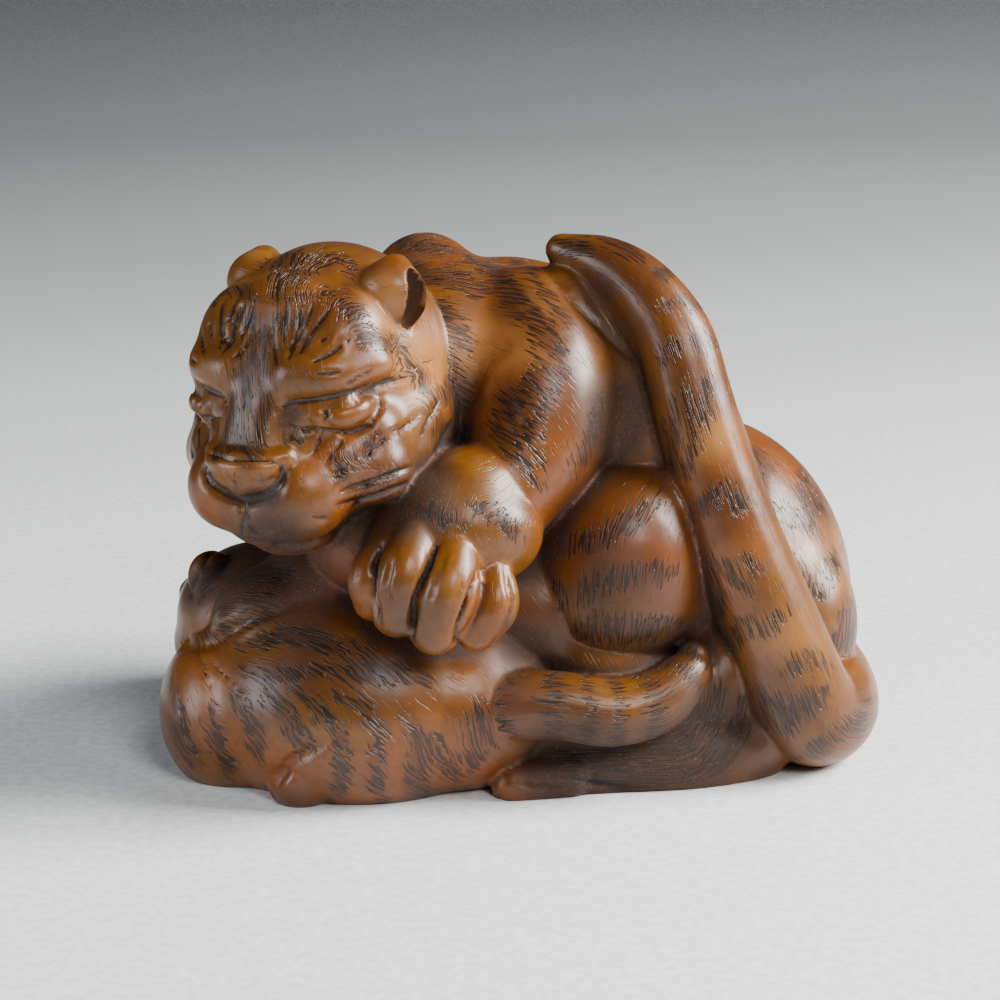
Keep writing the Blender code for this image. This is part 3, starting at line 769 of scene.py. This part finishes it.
# Lay of the fur: form, place on the front, and direction there, right and up
FUR = {
    "head": [(250, 430, 0, 1), (255, 340, 0.45, 1), (300, 270, 1, 0.35), (340, 262, 1, 0.1),
             (300, 330, 0.4, 1), (325, 330, 0.7, 1), (340, 350, 1, 0.8), (345, 372, 1, 0.5),
             (375, 335, 1, -0.3), (330, 450, 0.5, 1), (385, 440, 1, 0.7), (380, 480, 1, 0.35),
             (370, 500, 1, 0.2), (450, 440, 0.1, -1), (430, 350, 0.8, -0.6), (300, 500, 1, 0.2)],
    "trunk": [(400, 245, 1, -0.1), (480, 265, 1, -0.15), (520, 290, 1, -0.5), (545, 330, 1, -0.7),
              (555, 370, 1, -0.8), (540, 400, 1, -0.6), (510, 430, 1, -1), (520, 460, 1, -1.2),
              (600, 340, 0.4, -1), (620, 440, 0.3, -1), (770, 470, 0.1, -1), (840, 500, 0.5, -1),
              (815, 590, -0.35, -1)],
    "thigh": [(560, 550, 0.1, -1), (650, 520, -0.6, -1), (620, 600, 0, -1)],
    "forepaw": [(450, 530, 0.4, -1), (500, 520, -1, -0.6)],
    "hind_foot": [(740, 690, 0, -1), (735, 740, -0.7, -1), (650, 775, -1, 0.05), (560, 780, -1, 0.1)],
    "far_foreleg": [(300, 500, 0.1, -1), (250, 700, -0.5, -1)],
    "far_hind": [(700, 600, -0.2, -1), (550, 770, -1, 0)],
    "cub_body": [(215, 720, 0.5, -1), (250, 740, 0.6, -1), (300, 730, 0.65, -1), (350, 750, 0.5, -1),
                 (420, 770, 0.5, -1), (460, 770, 0.6, -1), (260, 655, 1, -0.05), (320, 640, 1, 0.1),
                 (240, 610, 1, 0.4), (380, 660, 1, -0.1), (420, 690, 1, -0.15), (180, 720, 0.2, -1),
                 (290, 685, 1, -0.7)],
    "cub_head": [(210, 600, 1, 0.6), (200, 560, 0.4, 1)],
}
NEAREST = 60  # keeps one arrow from taking over at its own spot
lay = np.tile(RIGHT, (len(places), 1))
for form, arrows in FUR.items():
    mine = owner == names.index(form)
    weight = np.array([1 / (np.linalg.norm(spot[mine] - (x, y), axis=1) ** 2 + NEAREST)
                       for x, y, _, _ in arrows])
    ways = np.array([np.array((u, v)) / math.hypot(u, v) for _, _, u, v in arrows])
    flat = np.einsum("ki,kj->ij", weight ** 1.5, ways)
    lay[mine] = flat[:, :1] * RIGHT + flat[:, 1:] * UP
HIDDEN_FUR = {"trunk": (0.8, 0.2, -0.6), "far_foreleg": (-0.3, 0.2, -1), "far_hind": (0.3, 0.3, -1),
              "thigh": (0, 0, -1), "forepaw": (-0.4, -0.4, -0.8), "cub_body": (0.5, 0.3, -0.8),
              "cub_head": (0.4, -0.6, 0.3), "head": (0.5, 0.7, -0.3), "hind_foot": (-1, 0, 0)}
lay[far_half] = lay[far_half] @ mirror.T
# near the middle of the head it runs straight, and not to one side
sideways = head_at[:3, 1]
MIDDLE_STRIP = 2.4
middling = np.where(in_head, 1 - smooth(0.0, MIDDLE_STRIP, local[:, 1]), 0)
lay -= (middling * (lay @ sideways))[:, None] * sideways
for form, way in HIDDEN_FUR.items():
    mine = owner == names.index(form)
    lay[mine] = front[mine, None] * lay[mine] + (1 - front[mine, None]) * np.array(way)
# along the tails it follows their length, and the rings of stripes stand square to it
for form, route, spacing, half_width in (("tail", TAIL_ROUTE, 3.2, 0.5),
                                         ("cub_tail", CUB_TAIL_ROUTE, 1.8, 0.3)):
    points = np.array([s[:3] for s in smooth_route(route, ROUTE_STEPS)]) + np.array(middle) * 1000
    walked = np.concatenate(([0], np.cumsum(np.linalg.norm(np.diff(points, axis=0), axis=1))))
    mine = np.nonzero(owner == names.index(form))[0]
    near = np.argmin(((places[mine][:, None] - points[None]) ** 2).sum(axis=2), axis=1)
    heading = np.gradient(points, axis=0)
    heading /= np.linalg.norm(heading, axis=1)[:, None]
    lay[mine] = heading[near]
    u = walked[near] + ((places[mine] - points[near]) * heading[near]).sum(axis=1) + 0.35 * sway[mine]
    away[mine] = np.abs(u / spacing - np.round(u / spacing)) * spacing - half_width
seen = np.where(owner == names.index("cub_tail"), 0.0, front)
band = np.minimum(band, away + FADE * seen)
across = np.cross(normals, lay)
across /= np.linalg.norm(across, axis=1)[:, None] + 1e-9
lay = np.cross(across, normals)

# A measure in millimetres along the fur and one across it, over each form's own surface: the smooth
# heights whose slopes come nearest to the two directions.
links = np.empty(len(skin.edges) * 2, dtype=np.int32)
skin.edges.foreach_get("vertices", links)
start, end = links.reshape(-1, 2).T
same = owner[start] == owner[end]
start, end = start[same], end[same]
step = places[end] - places[start]
count = len(places)
degree = np.bincount(start, minlength=count) + np.bincount(end, minlength=count) + 1e-3


def spread(edges):
    """What the edges bring to each spot: added at their end, taken away at their start."""
    return np.bincount(end, edges, count) - np.bincount(start, edges, count)


SQUARED_MEDIAN = 0.91  # divides the middle squared slope so that a form's usual slope comes out as one


def measure(direction, rounds):
    """Heights whose slope follows the direction, found in so many rounds, with a usual slope of one."""
    rise = (step * (direction[start] + direction[end])).sum(axis=1) / 2
    height = np.zeros(count)
    rest = spread(rise)
    search = rest / degree
    old = rest @ search
    for _ in range(rounds):
        pull = spread(search[end] - search[start])
        size = old / (search @ pull + 1e-12)
        height += size * search
        rest -= size * pull
        new = rest @ (rest / degree)
        search = rest / degree + new / old * search
        old = new
    for number in range(len(names)):
        mine = owner == number
        slope = ((height[end] - height[start]) / np.linalg.norm(step, axis=1))[mine[start]]
        usual = math.sqrt(2 * np.median(slope ** 2) / SQUARED_MEDIAN)
        height[mine] /= usual
    return height


rounds = 900
along_fur, across_fur = measure(lay, rounds), measure(across, rounds)

# Painted highlights where the light falls and painted shade under and between the forms, with some wear on
# the lighter spots: middle on the front, radius, how much lighter or darker
PAINTED_LIGHT_AND_SHADE = [(455, 350, 40, 0.8), (420, 385, 30, 0.5), (378, 285, 18, 0.6), (840, 560, 45, 0.6),
         (550, 300, 28, 0.4), (722, 430, 25, 0.6), (800, 640, 40, 0.4), (215, 680, 35, 0.5),
         (445, 585, 20, 0.4), (395, 575, 14, 0.4), (300, 580, 55, -0.8), (250, 560, 40, -0.8),
         (440, 510, 35, -0.6), (400, 520, 25, -0.7), (620, 400, 38, -0.9), (630, 330, 25, -0.6),
         (650, 775, 90, -0.8), (720, 725, 45, -0.8), (560, 770, 50, -0.6), (195, 590, 30, -0.7),
         (520, 640, 30, -0.9), (400, 660, 30, -0.5), (610, 560, 60, -0.3), (370, 460, 30, -0.2),
         (430, 470, 25, -0.7), (690, 640, 16, -0.6), (595, 290, 26, -0.7), (615, 440, 34, -0.8),
         (385, 300, 22, 0.7), (405, 360, 26, 0.6), (500, 345, 26, 0.7), (272, 497, 10, -1.0),
         (250, 496, 9, -0.8), (232, 494, 9, -0.6), (228, 466, 10, 0.5), (252, 395, 16, 0.5),
         (275, 540, 25, -0.6), (300, 300, 40, 0.25), (500, 350, 22, 0.4), (690, 300, 30, 0.3),
         (560, 740, 60, -0.3), (320, 740, 70, -0.15), (740, 560, 30, 0.35), (770, 640, 30, 0.3),
         (620, 705, 35, 0.35), (560, 700, 30, 0.3), (540, 355, 22, 0.35), (670, 700, 20, 0.3),
         (690, 300, 40, -0.15), (262, 466, 10, 0.5), (605, 600, 50, -0.5), (410, 610, 40, -0.2),
         (225, 350, 30, -0.2), (292, 414, 12, -1.0), (284, 424, 9, -0.7), (385, 320, 14, 0.6),
         (250, 250, 14, 0.4), (700, 450, 22, 0.5), (505, 690, 25, -0.4), (300, 650, 60, -0.3),
         (230, 400, 25, -0.3)]
# the spots paint light and shade only on the surfaces that face the front
painted_light_and_shade = np.zeros(len(places))
for x, y, radius, amount in PAINTED_LIGHT_AND_SHADE:
    off = np.linalg.norm(pictured(places) - (x, y), axis=1) / radius
    painted_light_and_shade += amount * np.exp(-off ** 2) * np.clip(normals @ BACK * 3, 0, 1)
painted_light_and_shade = np.clip(painted_light_and_shade, -1, 1)

# How far each spot lies in a hollow: rays over the hemisphere that soon meet wood. The finish paints shade
# into the colour from it.
skin.vertices.foreach_set("co", (places / 1000).ravel())
skin.update()
wood = BVHTree.FromPolygons([Vector(p) for p in places], [tuple(f.vertices) for f in skin.polygons])
RAYS = 12
GOLDEN_TURN = 2.39996  # spreads the rays evenly
CLEAR_OF_WOOD = 0.08
LOOK_AROUND = 5.0
turns = [(math.sqrt((k + 0.5) / RAYS), k * GOLDEN_TURN) for k in range(RAYS)]
hollow = np.zeros(len(places))
for i, (p, n) in enumerate(zip(places, normals)):
    up = Vector(n)
    side = up.orthogonal().normalized()
    other = up.cross(side)
    eye = Vector(p) + up * CLEAR_OF_WOOD
    met = 0.0
    for r, a in turns:
        way = side * (r * math.cos(a)) + other * (r * math.sin(a)) + up * math.sqrt(max(0.0, 1 - r * r))
        hit = wood.ray_cast(eye, way, LOOK_AROUND)
        if hit[0] is not None:
            met += 1 - hit[3] / LOOK_AROUND
    hollow[i] = met / len(turns)

# What the skin carries for the finish to read
FORMS_APART = 5.0  # keeps the pattern of one form from running on in the next
fur = np.column_stack((along_fur, across_fur, FORMS_APART * owner))
for name, kind, values in (("band", "FLOAT", band), ("engraved", "FLOAT", engraved),
                           ("hollow", "FLOAT", hollow), ("fur", "FLOAT_VECTOR", fur),
                           ("painted_light_and_shade", "FLOAT", painted_light_and_shade)):
    stored = skin.attributes.new(name, kind, "POINT")
    stored.data.foreach_set("value" if kind == "FLOAT" else "vector",
                            np.ascontiguousarray(values, dtype=np.float32).ravel())

# The underside, flat, and the cord channel: two mouths joined by a bend, drilled into the wood
block = bpy.data.objects.new("block", skin)
bpy.context.scene.collection.objects.link(block)


def box(low, high):
    """A plain block between two corners, in metres."""
    mesh = bpy.data.meshes.new("box")
    shape = bmesh.new()
    centre = (Vector(low) + Vector(high)) / 2
    size = Matrix.Diagonal((*(Vector(high) - Vector(low)), 1))
    bmesh.ops.create_cube(shape, size=1, matrix=Matrix.Translation(centre) @ size)
    shape.to_mesh(mesh)
    shape.free()
    return mesh


KNOT_MOUTH = 4.8
CORD_MOUTH = 3.4
MOUTH_SPACING = 10.5
CHANNEL_DEPTH = 5.5
BELOW = 0.05  # metres, well past the carving on every side
x, y = -2.5, 5.8  # middle of the wider mouth
wide, narrow = KNOT_MOUTH / 2, CORD_MOUTH / 2
run, deep = MOUTH_SPACING, CHANNEL_DEPTH
channel = limb([(x, y, -wide, wide), (x, y, 0.3 * deep, wide), (x + 0.2 * run, y, 0.8 * deep, wide),
                (x + 0.5 * run, y, deep, 0.5 * (wide + narrow)), (x + 0.8 * run, y, 0.8 * deep, narrow),
                (x + run, y, 0.3 * deep, narrow), (x + run, y, -wide, narrow)])
tools = [cut(block, box((-BELOW, -BELOW, -BELOW), (BELOW, BELOW, 0))), cut(block, channel)]
skin = finished(block)
for tool in tools:
    bpy.data.objects.remove(tool)
carving = bpy.data.objects.new("carving", skin)
bpy.context.scene.collection.objects.link(carving)
skin.shade_smooth()


def linear(hex_value):
    """An sRGB hex colour as linear RGBA."""
    channels = [int(hex_value[i:i + 2], 16) / 255 for i in (0, 2, 4)]
    return (*[c / 12.92 if c <= 0.04045 else ((c + 0.055) / 1.055) ** 2.4 for c in channels], 1)


def add(kind, inputs, out=0, **settings):
    """Adds a node with its settings, and a link or value for each input; gives one of its outputs."""
    node = tree.nodes.new("ShaderNode" + kind)
    for name, value in settings.items():
        setattr(node, name, value)
    for name, value in inputs.items():
        if isinstance(value, bpy.types.NodeSocket):
            tree.links.new(value, node.inputs[name])
        else:
            node.inputs[name].default_value = value
    return node.outputs[out]


def per_metre(size):
    """How many times a pattern of this size in millimetres comes in a metre."""
    return 1000 / size


# Boxwood, polished and stained: a hard, even wood with no open pores. It was cut with knives, scraped
# and polished, and hands have rubbed it since, so it has a soft gloss and slight facets, and is duller
# in the hollows, where shade is also painted darker into its colour. The stripes are fine cuts with a
# near-black stain rubbed in.
boxwood = bpy.data.materials.new("boxwood_polished_and_stained")
boxwood.use_nodes = True
tree = boxwood.node_tree
surface = tree.nodes["Principled BSDF"]
at = add("TexCoord", {}, out="Object")
band = add("Attribute", {}, out="Fac", attribute_name="band")
engraved = add("Attribute", {}, out="Fac", attribute_name="engraved")
hollow = add("Attribute", {}, out="Fac", attribute_name="hollow")
painted_light_and_shade = add("Attribute", {}, out="Fac", attribute_name="painted_light_and_shade")
fur = add("Attribute", {}, out="Vector", attribute_name="fur")


def strokes(long, wide, offset):
    """A noise that is drawn out along the fur, with strokes so long and wide in millimetres."""
    drawn = add("VectorMath", {0: fur, 1: (1 / long, 1 / wide, 1), 2: (offset, offset, offset)},
                operation="MULTIPLY_ADD")
    return add("TexNoise", {"Vector": drawn, "Scale": 1.0, "Detail": 1.0, "Roughness": 0.4}, out="Fac")


def wander(line, noise, reach):
    """The distance from a line, shifted to both sides by the noise, in millimetres."""
    shift = add("Math", {0: add("Math", {0: noise, 1: 0.5}, operation="SUBTRACT"), 1: reach},
                operation="MULTIPLY")
    return add("Math", {0: line, 1: shift}, operation="ADD")


# Patterns, each with the size of its marks in millimetres: nicks of the point, clouds and flecks in
# the wood, grains of dust, facets of the knife
NICKS, CLOUDS, WIDE_CLOUDS, FLECKS, DUST_GRAINS, FACETS = 0.66667, 4.7619, 8.3333, 0.38462, 0.11765, 1.6129
nicks, clouds, wide_clouds, flecks, dust_grains, facets = (
    add("TexNoise", {"Vector": at, "Scale": per_metre(size), "Detail": detail}, out="Fac")
    for size, detail in ((NICKS, 2.0), (CLOUDS, 3.0), (WIDE_CLOUDS, 2.0), (FLECKS, 3.0),
                         (DUST_GRAINS, 0.0), (FACETS, 1.0)))

# The strokes within a stripe, which end unevenly at its edge; faint ones between the stripes; and the
# lines that stand by themselves. Length and width in millimetres.
STROKE = (1.2, 0.115)
UNEVEN_END = (1.3, 0.16)
hairs = strokes(*STROKE, 0.0)
uneven = strokes(*UNEVEN_END, 40.0)
edge = wander(wander(band, uneven, 1.8), nicks, 0.5)
drawn_line = wander(engraved, nicks, 0.07)

# Soft steps: what each is of, from where to where, and the values that it gives there
# The steps on the lighter and darker spots give painted highlight, with some wear, and painted shade; the
# step on the hollows gives painted shade.
in_stripe, in_hair, in_faint, in_gap, cuts, bleed, yellowness, cloudiness, fleckiness, painted_sheen_and_wear, hollow_shade, painted_shade_spots = (
    add("MapRange", {0: value, 1: low, 2: high, 3: at_low, 4: at_high}, interpolation_type="SMOOTHSTEP")
    for value, low, high, at_low, at_high in (
        (edge, 0.10, -0.04, 0.0, 1.0), (hairs, 0.47, 0.54, 0.0, 1.0), (hairs, 0.56, 0.66, 0.0, 1.0),
        (uneven, 0.44, 0.62, 0.0, 1.0), (drawn_line, 0.06, -0.02, 0.0, 1.0), (edge, 0.4, -0.3, 0.0, 1.0),
        (wide_clouds, 0.40, 0.62, 0.0, 1.0), (clouds, 0.35, 0.65, 0.0, 0.7), (flecks, 0.35, 0.75, 0.0, 0.35),
        (painted_light_and_shade, 0.0, 1.0, 0.0, 1.0), (hollow, 0.08, 0.46, 0.0, 1.0), (painted_light_and_shade, 0.0, -1.0, 0.0, 1.0)))
stained = add("Math", {0: in_stripe, 1: in_hair}, operation="MULTIPLY")
faint = add("Math", {0: in_faint, 1: in_gap}, operation="MULTIPLY")
dark = add("Math", {0: stained, 1: cuts}, operation="MAXIMUM")
# Painted shade: in the hollows, and at the darker spots on the front
shade = add("Math", {0: hollow_shade, 1: painted_shade_spots}, operation="MAXIMUM")

# dust lies only in the shade
grains, sheltered = (
    add("MapRange", {0: value, 1: low, 2: high}, interpolation_type="SMOOTHSTEP")
    for value, low, high in ((dust_grains, 0.66, 0.78), (shade, 0.4, 1.0)))
dust = add("Math", {0: grains, 1: sheltered}, operation="MULTIPLY")

# The colour, laid on in turn: the wood's own, then painted highlight with some wear, painted shade, stain
# and dust. Share, its strength, hue.
# The pale tan at the end of this row is painted highlight with some wear; the first brown of the next row is
# painted shade.
AMBER, OCHRE, TAN, FLECK, SHEEN_AND_WEAR = "773E08", "6E430E", "46250B", "45220A", "B87E44"
PAINTED_SHADE, STAIN_BLEED, FAINT_STAIN, STAIN, DUST = "2A1408", "341A0D", "2A160C", "20150F", "8A7A66"
colour = linear(AMBER)
for share, strength, hue in ((yellowness, 1, OCHRE), (cloudiness, 1, TAN), (fleckiness, 1, FLECK),
                             (painted_sheen_and_wear, 0.5, SHEEN_AND_WEAR), (shade, 0.82, PAINTED_SHADE), (bleed, 0.45, STAIN_BLEED),
                             (faint, 0.30, FAINT_STAIN), (dark, 0.88, STAIN), (dust, 0.17, DUST)):
    if strength < 1:
        share = add("Math", {0: share, 1: strength}, operation="MULTIPLY")
    colour = add("Mix", {0: share, 6: colour, 7: linear(hue)}, out=2, data_type="RGBA")
tree.links.new(colour, surface.inputs["Base Color"])

# The polish, duller in the shade, and the relief: facets, flecks, strokes and lines
POLISHED, UNPOLISHED = 0.28, 0.62
STROKE_DEPTH = 0.000032
surface.inputs["Specular IOR Level"].default_value = 0.45
polish = add("MapRange", {0: shade, 1: 0.1, 2: 0.9, 3: POLISHED, 4: UNPOLISHED},
             interpolation_type="SMOOTHSTEP")
flecked, fine, rounded, shallow, scored = (
    add("Math", {0: value, 1: strength}, operation="MULTIPLY")
    for value, strength in ((flecks, 0.10), (flecks, 0.14), (facets, 1.1), (faint, 0.25), (cuts, 0.6)))
gloss = add("Math", {0: polish, 1: flecked}, operation="ADD")
tree.links.new(gloss, surface.inputs["Roughness"])
worked = add("Math", {0: fine, 1: rounded}, operation="ADD")
deepest = add("Math", {0: stained, 1: shallow}, operation="MAXIMUM")
height = add("Math", {0: add("Math", {0: worked, 1: deepest}, operation="SUBTRACT"), 1: scored},
             operation="SUBTRACT")
relief = add("Bump", {"Height": height, "Distance": STROKE_DEPTH, "Strength": 1.0}, out="Normal")
tree.links.new(relief, surface.inputs["Normal"])
carving.data.materials.clear()
carving.data.materials.append(boxwood)
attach(carving, "root")
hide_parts("netsuke")

# The floor: one wide sheet of pale grey paper under the carving, which curves up behind it as the
# backdrop. It is pressed and unglazed, and only lies there.
SHEET_SIDE = 1.2
SHEET_PROFILE = [(-0.6, 0.0), (0.25, 0.0), (0.34, 0.01), (0.41, 0.04), (0.46, 0.09), (0.48, 0.16),
                 (0.48, 0.7)]
paper = bpy.data.meshes.new("paper")
shape = bmesh.new()
rows = [[shape.verts.new((x, y, z)) for x in (-SHEET_SIDE, SHEET_SIDE)] for y, z in SHEET_PROFILE]
for a, b in zip(rows[:-1], rows[1:]):
    shape.faces.new((a[0], a[1], b[1], b[0]))
shape.to_mesh(paper)
shape.free()
floor = bpy.data.objects.new("floor", paper)
bpy.context.scene.collection.objects.link(floor)
paper.shade_smooth()

# Grey paper, pressed and unglazed: quite matt, finely mottled by its fibre. It darkens towards the back
# and a little to the left, as the light falls off.
NEAR_GREY, FAR_GREY, DUSK, FIBRE_GREY = "EFF2F3", "34383C", "1A2228", "8A8C90"
FIBRE = 0.55556
soft_paper = bpy.data.materials.new("grey_paper")
soft_paper.use_nodes = True
tree = soft_paper.node_tree
sheet = tree.nodes["Principled BSDF"]
at = add("TexCoord", {}, out="Object")
fibre = add("TexNoise", {"Vector": at, "Scale": per_metre(FIBRE), "Detail": 3.0}, out="Fac")
across_floor = add("SeparateXYZ", {"Vector": at}, out="X")
into_depth = add("SeparateXYZ", {"Vector": at}, out="Y")
fade, behind, to_left, mottled = (
    add("MapRange", {0: value, 1: low, 2: high, 3: at_low, 4: at_high}, interpolation_type="SMOOTHSTEP")
    for value, low, high, at_low, at_high in (
        (into_depth, -0.10, 0.55, 0.0, 1.0), (into_depth, -0.02, 0.17, 0.0, 1.0),
        (across_floor, -0.08, 0.05, 0.08, 0.0), (fibre, 0.35, 0.65, 0.0, 0.22)))
behind = add("Math", {0: behind, 1: 0.50}, operation="MULTIPLY")
grey = linear(NEAR_GREY)
for share, hue in ((fade, FAR_GREY), (behind, DUSK), (to_left, DUSK), (mottled, FIBRE_GREY)):
    grey = add("Mix", {0: share, 6: grey, 7: linear(hue)}, out=2, data_type="RGBA")
tree.links.new(grey, sheet.inputs["Base Color"])
sheet.inputs["Roughness"].default_value = 0.9
sheet.inputs["Specular IOR Level"].default_value = 0.2
paper.materials.append(soft_paper)
floor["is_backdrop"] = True

# The light: three soft boxes and the dim studio round them. The camera looks down a little through a
# long lens, as the photograph does. Place, what it points at, size, power and tint of each box:
for name, place, aim, size, power, tint in (
        ("key", (0.30, 0.01, 0.22), (0, 0, 0.012), 0.20, 5.5, (1.0, 0.99, 0.97)),
        ("left", (-0.30, -0.10, 0.09), (0, 0, 0.015), 0.16, 0.65, (0.86, 0.92, 1.0)),
        ("front", (0.14, -0.30, 0.30), (0, 0, 0.015), 0.14, 0.9, (1.0, 0.99, 0.97))):
    lamp = bpy.data.lights.new(name, "AREA")
    lamp.energy = power
    lamp.size = size
    lamp.color = tint
    stand = bpy.data.objects.new(name, lamp)
    stand.location = place
    stand.rotation_mode = "QUATERNION"
    stand.rotation_quaternion = (Vector(aim) - Vector(place)).to_track_quat("-Z", "Y")
    bpy.context.scene.collection.objects.link(stand)
STUDIO_TINT = (0.75, 0.8, 0.88, 1)
STUDIO_GLOW = 0.075
world = bpy.data.worlds.new("studio")
world.use_nodes = True
world.node_tree.nodes["Background"].inputs["Color"].default_value = STUDIO_TINT
world.node_tree.nodes["Background"].inputs["Strength"].default_value = STUDIO_GLOW
bpy.context.scene.world = world

lens = bpy.data.cameras.new("camera")
lens.lens = LENS
lens.clip_start = 0.001
camera = bpy.data.objects.new("camera", lens)
camera.location = Vector(TARGET + BACK * REACH) / 1000
camera.rotation_mode = "QUATERNION"
camera.rotation_quaternion = Vector(-BACK).to_track_quat("-Z", "Y")
bpy.context.scene.collection.objects.link(camera)
bpy.context.scene.camera = camera

low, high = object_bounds()
